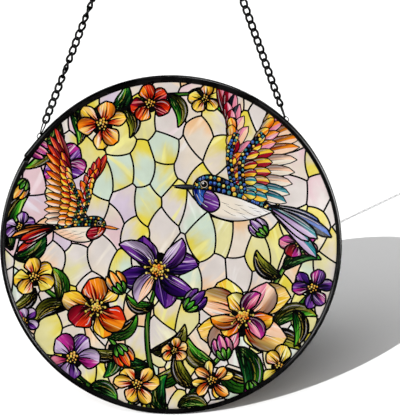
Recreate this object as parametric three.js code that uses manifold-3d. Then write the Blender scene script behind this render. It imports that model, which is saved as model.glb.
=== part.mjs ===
// A round stained-glass-style suncatcher: one printed glass pane in a black metal rim, hung by two
// runs of twisted curb chain that meet at a small hanging ring.
// Millimetres, +Z up, the picture side faces -Y. The origin is where a hook bears: the top of the
// hole in the hanging ring.

import * as THREE from "three";
import { mergeVertices } from "three/addons/utils/BufferGeometryUtils.js";
import Module from "manifold-3d";

const wasm = await Module();
wasm.setup();

// ---- Driving dimensions ----
const RIM_RADIUS = 100; // outside of the rim
const RIM_WIDTH = 3; // how much of the front the rim covers, along the radius
const RIM_DEPTH = 10; // front to back
const RIM_ROUND = 1.5; // rounding of the rim's outer front edge
const RIM_CHAMFER = 0.8; // its outer back edge
const BEAD_WIDTH = 2.3; // the raised outer part of the rim's front
const LIP_SETBACK = 0.5; // how far the lip inside the bead lies behind its front
const RIM_STEPS = 42;
const JOINT_ANGLE = 148; // where the ends of the rim strip meet, degrees from +X towards +Z
const JOINT_KERF = 0.35; // the hairline left between those ends
const JOINT_FLARE = 0.9; // how far the upper end stands out past the lower one
const JOINT_FLARE_ANGLE = 8; // the length of that flare, degrees

const FIT_GAP = 0.3; // left between pieces that touch
const SLOT_WALL = 1.2; // metal left outside the slot that holds the pane
const PANE_THICKNESS = 3;
const PANE_INSET = 1.5; // from the rim's front back to the glass
const PANE_RADIUS = RIM_RADIUS - SLOT_WALL - FIT_GAP;
const PANE_SEGMENTS = 54;

const HANG_DROP = 265; // from the hook down to the middle of the pane
const RING_HOLE = 12; // diameter of the hole in the hanging ring
const RING_WIRE = 1.6;
const RING_STEPS = 24;
const RING_GAP = 0.6; // from its wire in to the ends of the first links

const LOOP_WIRE = 0.55;
const LOOP_HEIGHT = 1.55; // from the rim out to the loop's centreline
const LOOP_SPAN = 3.7; // between its feet
const LOOP_STEPS = 10;
const LOOP_GAP = 0.2; // from its foot to the link pulled up against it

const JUMP_WIRE = 0.8;
const JUMP_LENGTH = 9.2; // outside length of the long oval links above the rim
const JUMP_WIDTH = 3.9;
const JUMP_BENDS = 12; // straight stretches round one
const JUMP_SIDES = 5;
const JUMP_FULLNESS = 0.85; // below 1, an oval is fuller than an ellipse

const LINK_WIRE = 1.35;
const LINK_WIDTH = 4.85;
const LINK_TWIST = -40; // each end of a link is turned this far from its middle, degrees
const LINK_BITE = 0.12; // how far fused links run into each other where they touch
const LINK_BENDS = 6;
const LINK_SIDES = 4;
const LINK_FULLNESS = 0.55;

const WIRE_SIDES = 6; // of the ring and the rim loops

// The loops are soldered on by eye, so the right one sits higher and its run is shorter. loopAngle is
// in degrees from the top of the rim, and links counts the chain.
const LEFT = { side: -1, loopAngle: 49.5, links: 41 };
const RIGHT = { side: 1, loopAngle: 41.9, links: 39 };

const radians = THREE.MathUtils.degToRad;

// ---- Worked-out places ----
const rimCentre = new THREE.Vector3(0, 0, -HANG_DROP);
const ringRadius = (RING_HOLE + RING_WIRE) / 2; // of the ring's centreline
const ringCentre = new THREE.Vector3(0, 0, -RING_HOLE / 2);

// A square bar of side linkBar has as much metal as the round wire, and needs fewer faces.
const linkBar = (LINK_WIRE * Math.sqrt(Math.PI)) / 2;
const linkReach = linkBar - LINK_BITE; // how far the centrelines of two linked ends lie apart
const firstLinkEnd = ringRadius - (RING_WIRE + LINK_WIRE) / 2 - RING_GAP;

// Where things come along a run, measured down it from the middle of the ring, as if it hung to the
// right. Its slant is in radians from straight down.
function layOutRun({ loopAngle, links }) {
  // The long link's lower bend passes half-way out in the loop's hole, against its upper foot.
  const pullPoint = new THREE.Vector3(
    JUMP_WIRE / 2 + LOOP_WIRE / 2 + LOOP_GAP - LOOP_SPAN / 2,
    0,
    RIM_RADIUS + (LOOP_HEIGHT - LOOP_WIRE / 2) / 2,
  )
    .applyAxisAngle(new THREE.Vector3(0, 1, 0), radians(loopAngle))
    .add(rimCentre);
  const line = pullPoint.sub(ringCentre);
  const slant = Math.atan2(line.x, -line.z);
  const jumpBottom = line.length();
  const jumpTop = jumpBottom - (JUMP_LENGTH - JUMP_WIRE);
  const lastLinkEnd = jumpTop + (JUMP_WIRE + LINK_WIRE) / 2 + FIT_GAP;
  const linkPitch = (lastLinkEnd - firstLinkEnd - linkReach) / links;
  return { slant, jumpTop, jumpBottom, linkPitch };
}

// ---- Materials ----
const metal = (color, roughness) =>
  new THREE.MeshStandardMaterial({ color, roughness, metalness: 0.6 });
const rimPaint = metal(0x0c0c0d, 0.35);
const wirePaint = metal(0x121213, 0.4);
const opalGlass = new THREE.MeshStandardMaterial({
  color: 0xe9e1cf,
  roughness: 0.15,
  metalness: 0,
});

function named(name, geometry, material) {
  const mesh = new THREE.Mesh(geometry, material);
  mesh.name = name;
  return mesh;
}

// ---- Curves ----
// Once round the rim's outer edge, from one side of the joint to the other. Its last few degrees
// swing outwards, where the upper end of the strip stands proud.
class RimPath extends THREE.Curve {
  getPoint(t, target = new THREE.Vector3()) {
    const kerf = JOINT_KERF / RIM_RADIUS;
    const turn = t * (2 * Math.PI - kerf);
    const angle = radians(JOINT_ANGLE) + kerf / 2 + turn;
    const left = (2 * Math.PI - kerf - turn) / radians(JOINT_FLARE_ANGLE);
    const radius = RIM_RADIUS + JOINT_FLARE * Math.max(0, 1 - left) ** 2;
    return target.set(radius * Math.cos(angle), 0, radius * Math.sin(angle));
  }
}

// The low wire arch of a rim loop. Its feet are a fitting gap clear of the rim.
class LoopPath extends THREE.Curve {
  getPoint(t, target = new THREE.Vector3()) {
    const angle = Math.PI * t;
    const foot = FIT_GAP + RIM_RADIUS;
    return target.set(
      (-LOOP_SPAN / 2) * Math.cos(angle),
      0,
      foot + (LOOP_HEIGHT - FIT_GAP) * Math.sin(angle) ** 0.7,
    );
  }
}

// ---- Wire bent round a closed oval, its length along Z and its width along X ----
// With a twist, its ends turn about Z, by that angle at the +Z end and by the opposite one at the
// -Z end. The bends come in pairs, so that a straight stretch crosses each end.
function ovalWire({ half, across, twist = 0, fullness = 1, radius, sides, bends }) {
  const bendStep = (2 * Math.PI) / bends;
  const centres = Array.from({ length: bends }, (_, i) => {
    const angle = (i + 0.5) * bendStep;
    const sideways = Math.sign(Math.sin(angle)) * Math.abs(Math.sin(angle)) ** fullness;
    const along = Math.cos(angle) / Math.cos(bendStep / 2);
    return new THREE.Vector3(across * sideways, 0, half * along);
  });
  const upAxis = new THREE.Vector3(0, 0, 1);
  const position = [];
  const index = [];
  centres.forEach((centre, i) => {
    const arriving = centre.clone().sub(centres.at(i - 1)).normalize();
    const leaving = centres[(i + 1) % bends].clone().sub(centre).normalize();
    const outward = arriving.clone().sub(leaving).normalize();
    // A mitred corner is wider across the bend, so that the stretches keep their thickness.
    const mitre = radius / Math.cos(arriving.angleTo(leaving) / 2);
    for (let k = 0; k < sides; k++) {
      // Half a side on, so that a flat and not a corner faces outwards.
      const round = ((k + 0.5) * 2 * Math.PI) / sides;
      const corner = centre.clone().addScaledVector(outward, mitre * Math.cos(round));
      corner.y += radius * Math.sin(round);
      corner.applyAxisAngle(upAxis, (twist * centre.z) / half);
      position.push(...corner.toArray());
      const [a, b] = [i, (i + 1) % bends].map((row) => row * sides + k);
      const [d, c] = [i, (i + 1) % bends].map((row) => row * sides + ((k + 1) % sides));
      index.push(a, c, d, a, b, c);
    }
  });
  return new THREE.BufferGeometry()
    .setAttribute("position", new THREE.Float32BufferAttribute(position, 3))
    .setIndex(index);
}

// ---- Joining solids ----
function solidOf(geometry) {
  const merged = mergeVertices(geometry, 1e-4);
  return new wasm.Manifold(
    new wasm.Mesh({
      numProp: 3,
      vertProperties: new Float32Array(merged.getAttribute("position").array),
      triVerts: new Uint32Array(merged.index.array),
    }),
  );
}

function geometryOf(solid) {
  const mesh = solid.getMesh();
  const position = new Float32Array(mesh.numVert * 3);
  for (let i = 0; i < mesh.numVert; i++) {
    position.set(mesh.vertProperties.subarray(i * mesh.numProp, i * mesh.numProp + 3), i * 3);
  }
  return new THREE.BufferGeometry()
    .setAttribute("position", new THREE.BufferAttribute(position, 3))
    .setIndex(new THREE.BufferAttribute(mesh.triVerts, 1));
}

// ---- The rim: a strip with a slot in its inner side, bent round the pane ----
function rim() {
  // Each point is (towards the front, outwards), measured from the middle of the outer wall.
  const front = RIM_DEPTH / 2;
  const lip = front - LIP_SETBACK;
  const slotFront = front - PANE_INSET + FIT_GAP;
  const slotBack = front - PANE_INSET - PANE_THICKNESS - FIT_GAP;
  const profile = new THREE.Shape();
  profile.moveTo(-front, -RIM_WIDTH);
  profile.lineTo(-front, -RIM_CHAMFER);
  profile.lineTo(-front + RIM_CHAMFER, 0);
  profile.lineTo(front - RIM_ROUND, 0);
  profile.absarc(front - RIM_ROUND, -RIM_ROUND, RIM_ROUND, Math.PI / 2, 0, true);
  profile.lineTo(front, LIP_SETBACK - BEAD_WIDTH);
  profile.lineTo(lip, -BEAD_WIDTH);
  profile.lineTo(lip, -RIM_WIDTH);
  profile.lineTo(slotFront, -RIM_WIDTH);
  profile.lineTo(slotFront, -SLOT_WALL);
  profile.lineTo(slotBack, -SLOT_WALL);
  profile.lineTo(slotBack, -RIM_WIDTH);
  profile.closePath();
  const geometry = new THREE.ExtrudeGeometry(profile, {
    steps: RIM_STEPS,
    curveSegments: 2,
    extrudePath: new RimPath(),
  });
  const mesh = named("rim", geometry, rimPaint);
  mesh.position.copy(rimCentre);
  return mesh;
}

function glassPane() {
  const geometry = new THREE.CylinderGeometry(
    PANE_RADIUS,
    PANE_RADIUS,
    PANE_THICKNESS,
    PANE_SEGMENTS,
  );
  const mesh = named("glass_pane", geometry, opalGlass);
  mesh.position.copy(rimCentre);
  mesh.position.y += PANE_INSET + PANE_THICKNESS / 2 - RIM_DEPTH / 2;
  return mesh;
}

function hangingRing() {
  const geometry = new THREE.TorusGeometry(ringRadius, RING_WIRE / 2, WIRE_SIDES, RING_STEPS);
  geometry.rotateX(Math.PI / 2);
  const mesh = named("hanging_ring", geometry, wirePaint);
  mesh.position.copy(ringCentre);
  return mesh;
}

// A round section of that radius, for a wire pushed along a path.
function wireSection(radius) {
  const corners = Array.from({ length: WIRE_SIDES }, (_, k) => {
    const angle = (2 * Math.PI * k) / WIRE_SIDES;
    return new THREE.Vector2(radius * Math.cos(angle), radius * Math.sin(angle));
  });
  return new THREE.Shape(corners);
}

function rimLoop(name, { side, loopAngle }) {
  const geometry = new THREE.ExtrudeGeometry(wireSection(LOOP_WIRE / 2), {
    steps: LOOP_STEPS,
    extrudePath: new LoopPath(),
  });
  const mesh = named(name, geometry, wirePaint);
  mesh.rotation.y = side * radians(loopAngle);
  mesh.position.copy(rimCentre);
  return mesh;
}

// ---- One run, built hanging straight down from the middle of the ring, along -Z ----
// Links are counted up from the rim.
// Left run: the lowest links face a little aside, then it turns half round once every seven or eight
// links, quickest where a link is edge-on, and is nearly still on the way to the ring.
function leftTurn(fromRim) {
  const settled = 2.7;
  const turning = 15;
  const halfTurnLinks = 7.6;
  const unevenness = 12; // degrees
  const lowTurn = -7; // degrees a link, below where it is settled
  const turnAtRing = 290; // degrees; the first link stands nearly edge-on there
  if (fromRim < settled) return lowTurn * (settled - fromRim);
  if (fromRim > turning) {
    const share = (fromRim - turning) / (LEFT.links - 1 - turning);
    return THREE.MathUtils.lerp(leftTurn(turning), turnAtRing, share);
  }
  const even = (180 / halfTurnLinks) * (fromRim - settled);
  return even - unevenness * Math.sin(radians(2 * even));
}

// Right run: it lies flat to the front, but for the lowest links and a slow turn near the ring.
function rightTurn(fromRim) {
  const settled = 6;
  const free = 17;
  const lowestTurn = -46; // degrees
  const slowTurn = -70; // degrees, spread over the links near the ring
  if (fromRim < settled) return lowestTurn * (1 - fromRim / settled) ** 1.25;
  return slowTurn * Math.max(0, (fromRim - free) / (RIGHT.links - 1 - free));
}

function chainRun(links, linkPitch, turnOf) {
  const linkHalf = (linkPitch + linkReach) / 2;
  const link = ovalWire({
    half: linkHalf,
    across: (LINK_WIDTH - LINK_WIRE) / 2,
    radius: linkBar / Math.SQRT2,
    sides: LINK_SIDES,
    bends: LINK_BENDS,
    twist: radians(LINK_TWIST),
    fullness: LINK_FULLNESS,
  });
  const solids = [];
  for (let i = 0; i < links; i++) {
    const placed = link.clone();
    placed.rotateZ(radians(turnOf(links - 1 - i)));
    placed.translate(0, 0, -(firstLinkEnd + linkHalf + i * linkPitch));
    solids.push(solidOf(placed));
  }
  return geometryOf(solids.reduce((whole, next) => whole.add(next)));
}

// The long link. At a turn of 90 degrees its bend runs from front to back, which is how the lower
// one passes through the loop.
function jumpLink(middle, lowerTurn, upperTurn) {
  const geometry = ovalWire({
    half: (JUMP_LENGTH - JUMP_WIRE) / 2,
    across: (JUMP_WIDTH - JUMP_WIRE) / 2,
    radius: JUMP_WIRE / 2,
    sides: JUMP_SIDES,
    bends: JUMP_BENDS,
    twist: radians((upperTurn - lowerTurn) / 2),
    fullness: JUMP_FULLNESS,
  });
  geometry.rotateZ(radians((upperTurn + lowerTurn) / 2));
  geometry.translate(0, 0, -middle);
  return geometry;
}

// The group that slants from the ring to the rim's loop on that side.
function run(word, layout, turnOf, jumpTurns) {
  const { slant, jumpTop, jumpBottom, linkPitch } = layOutRun(layout);
  const chain = chainRun(layout.links, linkPitch, turnOf);
  const jump = jumpLink((jumpTop + jumpBottom) / 2, ...jumpTurns);
  const group = new THREE.Group();
  group.add(named(`chain_${word}`, chain, wirePaint), named(`jump_link_${word}`, jump, wirePaint));
  group.position.copy(ringCentre);
  group.rotation.y = -layout.side * slant;
  return group;
}

const suncatcher = new THREE.Group();
suncatcher.add(
  rim(),
  glassPane(),
  rimLoop("rim_loop_left", LEFT),
  rimLoop("rim_loop_right", RIGHT),
  run("left", LEFT, leftTurn, [104, 132]),
  run("right", RIGHT, rightTurn, [80, 74]),
  hangingRing(),
);

export default suncatcher;
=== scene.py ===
# %% [markdown]
# # A round suncatcher
# The object is a pane of milky glass, printed to look like stained glass, in a black metal rim. Two
# runs of twisted chain hang it from a small ring. The solids that hold its sizes come packed, and
# this lesson gives each of them its real surface: fine wire and links, a rim with its bead and lip,
# and a picture drawn in pieces of coloured glass. It starts by loading those solids.

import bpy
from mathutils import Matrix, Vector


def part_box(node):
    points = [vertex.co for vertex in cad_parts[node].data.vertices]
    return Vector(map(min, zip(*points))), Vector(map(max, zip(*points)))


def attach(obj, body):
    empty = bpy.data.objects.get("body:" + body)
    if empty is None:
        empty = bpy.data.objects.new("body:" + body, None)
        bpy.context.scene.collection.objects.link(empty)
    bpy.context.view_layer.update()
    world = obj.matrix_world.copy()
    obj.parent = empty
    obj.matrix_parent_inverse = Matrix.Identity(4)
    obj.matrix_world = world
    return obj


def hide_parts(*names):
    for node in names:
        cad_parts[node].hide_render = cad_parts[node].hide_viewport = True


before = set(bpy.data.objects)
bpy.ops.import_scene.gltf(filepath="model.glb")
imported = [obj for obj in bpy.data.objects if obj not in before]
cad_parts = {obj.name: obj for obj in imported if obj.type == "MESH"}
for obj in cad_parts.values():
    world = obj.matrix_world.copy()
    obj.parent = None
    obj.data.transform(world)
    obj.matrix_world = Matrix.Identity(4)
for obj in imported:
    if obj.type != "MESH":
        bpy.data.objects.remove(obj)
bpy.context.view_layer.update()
print("solids:", ", ".join(sorted(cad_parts)))

# %% [markdown]
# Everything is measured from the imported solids, so that each new surface lands on the solid that it
# stands for. The pane gives the middle of the picture and its radius. The ring gives the point
# where both runs of chain start. Small parts are easier to think about in millimetres, so MM turns
# them into Blender's metres.

# %% Measure the solids
import math
import random
from collections import namedtuple

import bpy
import numpy as np
from mathutils import Vector
from mathutils.geometry import delaunay_2d_cdt

MM = 0.001
pane_low, pane_high = (Vector(corner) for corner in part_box("glass_pane"))
rim_low, rim_high = (Vector(corner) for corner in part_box("rim"))
ring_low, ring_high = (Vector(corner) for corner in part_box("hanging_ring"))

SLOT_WALL = 1.2  # metal outside the slot that holds the pane, in millimetres as all sizes are
FIT_GAP = 0.3  # left between pieces that touch
PANE_RADIUS = (pane_high.x - pane_low.x) / 2
RIM_RADIUS = PANE_RADIUS + (SLOT_WALL + FIT_GAP) * MM
disc_centre = Vector((0, (rim_low.y + rim_high.y) / 2, (pane_low.z + pane_high.z) / 2))
ring_centre = (ring_low + ring_high) / 2
print(f"pane radius {PANE_RADIUS / MM:.1f} mm, middle {-disc_centre.z / MM:.1f} mm below the hook")

# %% [markdown]
# ## The camera and the room
# The object is seen nearly square on, from a little above, through a long lens, so its circle stays
# almost a circle. It hangs left of the middle and low in the view, with the chains running out at
# the top. Aiming the camera at a point beside the disc frames it so, without any lens shift.

# %% Place the camera
VIEW_WIDTH = 234.0 * MM  # how much of the disc's plane the picture is wide
VIEW_ASPECT = 416 / 400
CAMERA_DISTANCE = 1.7
CAMERA_ELEVATION = math.radians(9.0)
CAMERA_AZIMUTH = math.radians(-1.0)
AIM_RIGHT = 16.95 * MM
AIM_UP = 22.0 * MM
SENSOR = 24.0

toward_camera = Vector(
    (
        math.sin(CAMERA_AZIMUTH) * math.cos(CAMERA_ELEVATION),
        -math.cos(CAMERA_AZIMUTH) * math.cos(CAMERA_ELEVATION),
        math.sin(CAMERA_ELEVATION),
    )
)
camera_turn = (-toward_camera).to_track_quat("-Z", "Y")
right, up = camera_turn @ Vector((1, 0, 0)), camera_turn @ Vector((0, 1, 0))
aim = disc_centre + right * AIM_RIGHT + up * AIM_UP

camera_data = bpy.data.cameras.new("camera")
camera_data.sensor_fit = "VERTICAL"
camera_data.sensor_height = SENSOR
camera_data.lens = SENSOR * CAMERA_DISTANCE / (VIEW_WIDTH * VIEW_ASPECT)
camera_data.clip_end = 20
camera = bpy.data.objects.new("camera", camera_data)
camera.rotation_mode = "QUATERNION"
camera.rotation_quaternion = camera_turn
camera.location = aim + toward_camera * CAMERA_DISTANCE
bpy.context.collection.objects.link(camera)
bpy.context.scene.camera = camera
print(f"lens {camera_data.lens:.0f} mm")

# %% [markdown]
# The room is as plain as a packshot's: a pale floor that fills the view and an even sky. The lights
# for floor and object are kept apart, as flags and screens do in a studio. A low sun from the left
# and front reaches the floor alone, and throws the disc's long grey shadow back and to the right. A
# much softer one from the same side makes that shadow deepest where it starts. One soft panel in
# front lights the glass alone, one on either side draws the glints along the metal, and one behind
# lights the whole object for a look at its back. Neither sky nor floor is mirrored, as if black
# flags stood all round, so the black paint stays black. A last small light stands where the glass
# mirrors it into the camera, as a faint glare near the right edge.

# %% Build the floor and the lights
FLOOR_SIZE = 14.0
FLOOR_DROP = 1.0 * MM  # the rim hangs this far clear of it
SKY = 0.03
SUN_WAY = Vector((-0.88, -3.11, 1.0))
SOFT_SUN_WAY = Vector((-0.62, -3.08, 1.05))
SQUARE = ((-1, -1), (1, -1), (1, 1), (-1, 1))


def shader_material(name, **sockets):
    """A new material, and its Principled shader with those plain values set on it."""
    material = bpy.data.materials.new(name)
    material.use_nodes = True
    shader = material.node_tree.nodes["Principled BSDF"]
    for socket, value in sockets.items():
        shader.inputs[socket.replace("_", " ")].default_value = value
    return material, shader


def mesh_object(name, points, faces, smooth=True):
    """A mesh object in the scene, from points in metres."""
    mesh = bpy.data.meshes.new(name)
    mesh.from_pydata([tuple(point) for point in points], [], [tuple(face) for face in faces])
    mesh.update()
    mesh.polygons.foreach_set("use_smooth", [smooth] * len(mesh.polygons))
    piece = bpy.data.objects.new(name, mesh)
    bpy.context.collection.objects.link(piece)
    return piece


floor_z = rim_low.z - FLOOR_DROP
floor_corners = [(x * FLOOR_SIZE / 2, y * FLOOR_SIZE / 2, floor_z) for x, y in SQUARE]
floor = mesh_object("floor", floor_corners, [(0, 1, 2, 3)])
paper, _ = shader_material(
    "pale paper", Base_Color=(0.93, 0.93, 0.93, 1), Roughness=1.0, Specular_IOR_Level=0.0
)
floor.data.materials.append(paper)
floor.visible_glossy = False

world = bpy.data.worlds.new("room")
world.use_nodes = True
sky = world.node_tree.nodes["Background"]
sky.inputs["Color"].default_value = (1, 1, 1, 1)
sky.inputs["Strength"].default_value = SKY
world.cycles_visibility.glossy = False
bpy.context.scene.world = world
bpy.context.scene.view_settings.view_transform = "Standard"

GROUPS = ("floor", "glass", "metal", "object")
lit = {group: bpy.data.collections.new(group + " is lit") for group in GROUPS}
for group in ("floor", "object"):
    lit[group].objects.link(floor)
lit["object"].collection_objects[0].light_linking.link_state = "EXCLUDE"


def light(name, kind, way, reaches, distance=0.0, **values):
    """A light on the disc's middle from that way, which reaches one of the groups above alone."""
    data = bpy.data.lights.new(name, kind)
    for value, number in values.items():
        setattr(data, value, number)
    lamp = bpy.data.objects.new(name, data)
    lamp.location = disc_centre + way.normalized() * distance
    lamp.rotation_mode = "QUATERNION"
    lamp.rotation_quaternion = (-way).to_track_quat("-Z", "Y")
    bpy.context.collection.objects.link(lamp)
    lamp.light_linking.receiver_collection = lit[reaches]


light("low sun", "SUN", SUN_WAY, "floor", energy=8.0, angle=math.radians(0.06))
light("soft low sun", "SUN", SOFT_SUN_WAY, "floor", energy=6.0, angle=math.radians(48))
light("front panel", "AREA", Vector((-0.5, -2.0, 1.3)), "glass", 2.4, energy=29, size=0.7)
light("back panel", "AREA", Vector((0.5, 1.6, 1.8)), "object", 2.4, energy=14, size=0.7)
light("left panel", "AREA", Vector((-1.3, -0.7, 0.35)), "metal", 1.1, energy=16, size=0.5)
light("right panel", "AREA", Vector((1.3, -0.8, 0.25)), "metal", 1.1, energy=32, size=0.6)
GLARE_SPOT = Vector((88 * MM, pane_low.y, disc_centre.z + 22 * MM))
GLARE_DISTANCE = 0.5
camera_in_glass = Vector((camera.location.x, 2 * pane_low.y - camera.location.y, camera.location.z))
glare_way = GLARE_SPOT + (GLARE_SPOT - camera_in_glass).normalized() * GLARE_DISTANCE - disc_centre
light("window", "AREA", glare_way, "glass", glare_way.length, energy=0.12, size=0.03)
print("floor at", round(floor_z / MM, 1), "mm")

# %% [markdown]
# ## Black paint on metal
# The rim is steel strip with a satin baked paint, and the chain and its wire links have a thinner
# black coat over bright wire. Both are almost black, so what the eye reads is their gloss. A fine
# bump makes the paint's orange peel, and slow noise makes the gloss uneven, as handling does. The
# paint is a plain dark colour with a little lift where it thins.

# %% Make the paints
HANDLING_SIZE = 11 * MM  # about how far apart dull and glossy places lie


def node(tree, kind, output, *values, **settings):
    """An output of a new node. values fill its inputs in order: plain, another output, or None."""
    made = tree.nodes.new("ShaderNode" + kind)
    for setting, value in settings.items():
        setattr(made, setting, value)
    for socket, value in zip([socket for socket in made.inputs if socket.enabled], values):
        if isinstance(value, bpy.types.NodeSocket):
            tree.links.new(value, socket)
        elif value is not None:
            socket.default_value = value
    return next(socket for socket in made.outputs if socket.enabled and socket.name == output)


def noise(tree, vector, scale, detail):
    """A noise texture's value, read at that vector."""
    return node(tree, "TexNoise", "Fac", vector, scale, detail)


def spread(tree, value, low, high, out_low=0.0, out_high=1.0, way="LINEAR"):
    """value taken from the range low to high into the range out_low to out_high."""
    ends = (low, high, out_low, out_high)
    return node(tree, "MapRange", "Result", value, *ends, interpolation_type=way)


def blend_colours(tree, amount, first, second, way="MIX"):
    """first where amount is 0 and second where it is 1; each is an output or a plain colour."""
    pair = [(*colour, 1) if isinstance(colour, tuple) else colour for colour in (first, second)]
    return node(tree, "Mix", "Result", amount, *pair, data_type="RGBA", blend_type=way)


def paint_with(tree, shader, colour, roughness, height=None, depth=0.0):
    """Links a colour, a roughness and, if there is one, a bump of that depth to the shader."""
    tree.links.new(colour, shader.inputs["Base Color"])
    tree.links.new(roughness, shader.inputs["Roughness"])
    if height is not None:
        bump = node(tree, "Bump", "Normal", None, depth, None, height)
        tree.links.new(bump, shader.inputs["Normal"])


def black_paint(name, deep, thin, gloss, peel_size, shine):
    """Black paint between two near-blacks, with uneven gloss and an orange peel of that size."""
    material, shader = shader_material(name, IOR=1.5, Specular_IOR_Level=shine)
    tree = material.node_tree
    place = node(tree, "TexCoord", "Object")
    handling = noise(tree, place, 1 / HANDLING_SIZE, 3)
    colour = blend_colours(tree, spread(tree, handling, 0.35, 0.7), deep, thin)
    roughness = spread(tree, handling, 0.3, 0.7, *gloss)
    paint_with(tree, shader, colour, roughness, noise(tree, place, 1 / peel_size, 2), peel_size * 0.03)
    return material


rim_paint = black_paint(
    "black rim paint", (0.0006, 0.0006, 0.0006), (0.002, 0.0018, 0.002), (0.2, 0.34), 1.2 * MM, 0.24
)
wire_paint = black_paint(
    "black wire coat", (0.0006, 0.0006, 0.0006), (0.002, 0.002, 0.002), (0.22, 0.36), 0.5 * MM, 0.08
)
print("paints:", rim_paint.name, "and", wire_paint.name)

# %% [markdown]
# ## The rim
# The rim is one strip, rolled with a rounded bead and a lower lip, bent round the pane, and its ends
# butted together at the upper left, where one end stands a little proud. Sweeping the strip's section
# round a circle gives exactly that. Each corner of the section is rounded a little, because it is
# the rounding that catches the light on a rolled corner.

# %% Sweep the rim
RIM_WIDTH = 3.0
RIM_DEPTH = (rim_high.y - rim_low.y) / MM
RIM_ROUND = 1.5
BEAD_WIDTH = 2.3
LIP_SETBACK = 0.5
BACK_CHAMFER = 0.8
PANE_INSET = (pane_low.y - rim_low.y) / MM
PANE_THICKNESS = (pane_high.y - pane_low.y) / MM
JOINT_ANGLE = math.radians(148)
JOINT_KERF = 0.35
JOINT_FLARE = 0.9
FLARE_ANGLE = math.radians(8)
RIM_STEPS = 300
BEAD_STEPS = 5
CORNER_SOFTNESS = 0.16
CORNER_STEPS = 3


def rounded_corners(corners, softness):
    """The closed outline with each corner cut back by softness and rounded in CORNER_STEPS."""
    outline = []
    for i, corner in enumerate(corners):
        corner = Vector(corner)
        before = Vector(corners[i - 1]) - corner
        after = Vector(corners[(i + 1) % len(corners)]) - corner
        cut = min(softness, before.length * 0.45, after.length * 0.45)
        start, end = corner + before.normalized() * cut, corner + after.normalized() * cut
        for k in range(CORNER_STEPS + 1):
            t = k / CORNER_STEPS
            outline.append(start * (1 - t) ** 2 + corner * 2 * t * (1 - t) + end * t**2)
    return outline


def rim_section():
    """The strip's section as (towards the front, outwards) in millimetres."""
    front = RIM_DEPTH / 2
    lip = front - LIP_SETBACK
    slot_front = front - PANE_INSET + FIT_GAP
    slot_back = front - PANE_INSET - PANE_THICKNESS - FIT_GAP
    arc = [math.radians(90 - 90 * k / BEAD_STEPS) for k in range(BEAD_STEPS + 1)]
    middle = (front - RIM_ROUND, -RIM_ROUND)
    bead = [(middle[0] + RIM_ROUND * math.cos(a), middle[1] + RIM_ROUND * math.sin(a)) for a in arc]
    return (
        [(-front, -RIM_WIDTH), (-front, -BACK_CHAMFER), (BACK_CHAMFER - front, 0)]
        + bead
        + [(front, LIP_SETBACK - BEAD_WIDTH), (lip, -BEAD_WIDTH), (lip, -RIM_WIDTH)]
        + [(slot_front, -RIM_WIDTH), (slot_front, -SLOT_WALL)]
        + [(slot_back, -SLOT_WALL), (slot_back, -RIM_WIDTH)]
    )


def swept_faces(rings, corners, closed=False):
    """Faces between rings of corners, with a cap at each end unless the rings close on themselves."""
    faces = []
    for i in range(rings if closed else rings - 1):
        j = (i + 1) % rings
        for k in range(corners):
            m = (k + 1) % corners
            faces.append((i * corners + k, j * corners + k, j * corners + m, i * corners + m))
    if not closed:
        faces.append(tuple(range(corners)))
        faces.append(tuple((rings - 1) * corners + k for k in reversed(range(corners))))
    return faces


section = rounded_corners(rim_section(), CORNER_SOFTNESS)
kerf_angle = JOINT_KERF * MM / RIM_RADIUS
rim_points = []
for step in range(RIM_STEPS + 1):
    turn = step / RIM_STEPS * (2 * math.pi - kerf_angle)
    angle = JOINT_ANGLE + kerf_angle / 2 + turn
    from_end = (2 * math.pi - kerf_angle - turn) / FLARE_ANGLE
    radius = RIM_RADIUS + JOINT_FLARE * MM * max(0, 1 - from_end) ** 2
    for towards_front, outwards in section:
        reach = radius + outwards * MM
        offset = Vector((reach * math.cos(angle), -towards_front * MM, reach * math.sin(angle)))
        rim_points.append(disc_centre + offset)
rim = mesh_object("metal_rim", rim_points, swept_faces(RIM_STEPS + 1, len(section)))
rim.data.materials.append(rim_paint)
lit["metal"].objects.link(rim)
for cap in rim.data.polygons[-2:]:
    cap.use_smooth = False
rim.modifiers.new("even shading", "WEIGHTED_NORMAL")
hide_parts("rim")
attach(rim, "root")
print(f"rim: {len(section)} corners in its section, {len(rim.data.polygons)} faces")

# %% [markdown]
# ## The wire
# Loops, links and the ring are all bent from round wire, so one helper makes them: it carries a
# round section along a line of points and closes the ends, or joins them up. The section is set
# square to the line at each point, and turned as little as it can be from one to the next, which is
# what real wire does.

# %% Carry a wire along a line
WIRE_SIDES = 12


def wire_rings(line, radius, closed):
    """Corners of a round section at each point of the line, in one list."""
    count = len(line)
    ways = []
    for i in range(count):
        ahead = line[(i + 1) % count] if closed or i < count - 1 else line[i]
        behind = line[i - 1] if closed or i > 0 else line[i]
        ways.append((ahead - behind).normalized())
    side = line[0] - sum(line, Vector()) / count
    sides = []
    for way in ways + ways[:1]:
        side = (side - way * side.dot(way)).normalized()
        sides.append(side)
    # going once round a twisted link turns the section, so each point takes its share of that back
    first, last = sides[0], sides[-1]
    slip = math.atan2(ways[0].dot(first.cross(last)), first.dot(last)) if closed else 0
    points = []
    for i, (place, way, side) in enumerate(zip(line, ways, sides)):
        across = way.cross(side)
        for k in range(WIRE_SIDES):
            angle = -2 * math.pi * k / WIRE_SIDES - slip * i / count
            points.append(place + (side * math.cos(angle) + across * math.sin(angle)) * radius)
    return points


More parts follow.
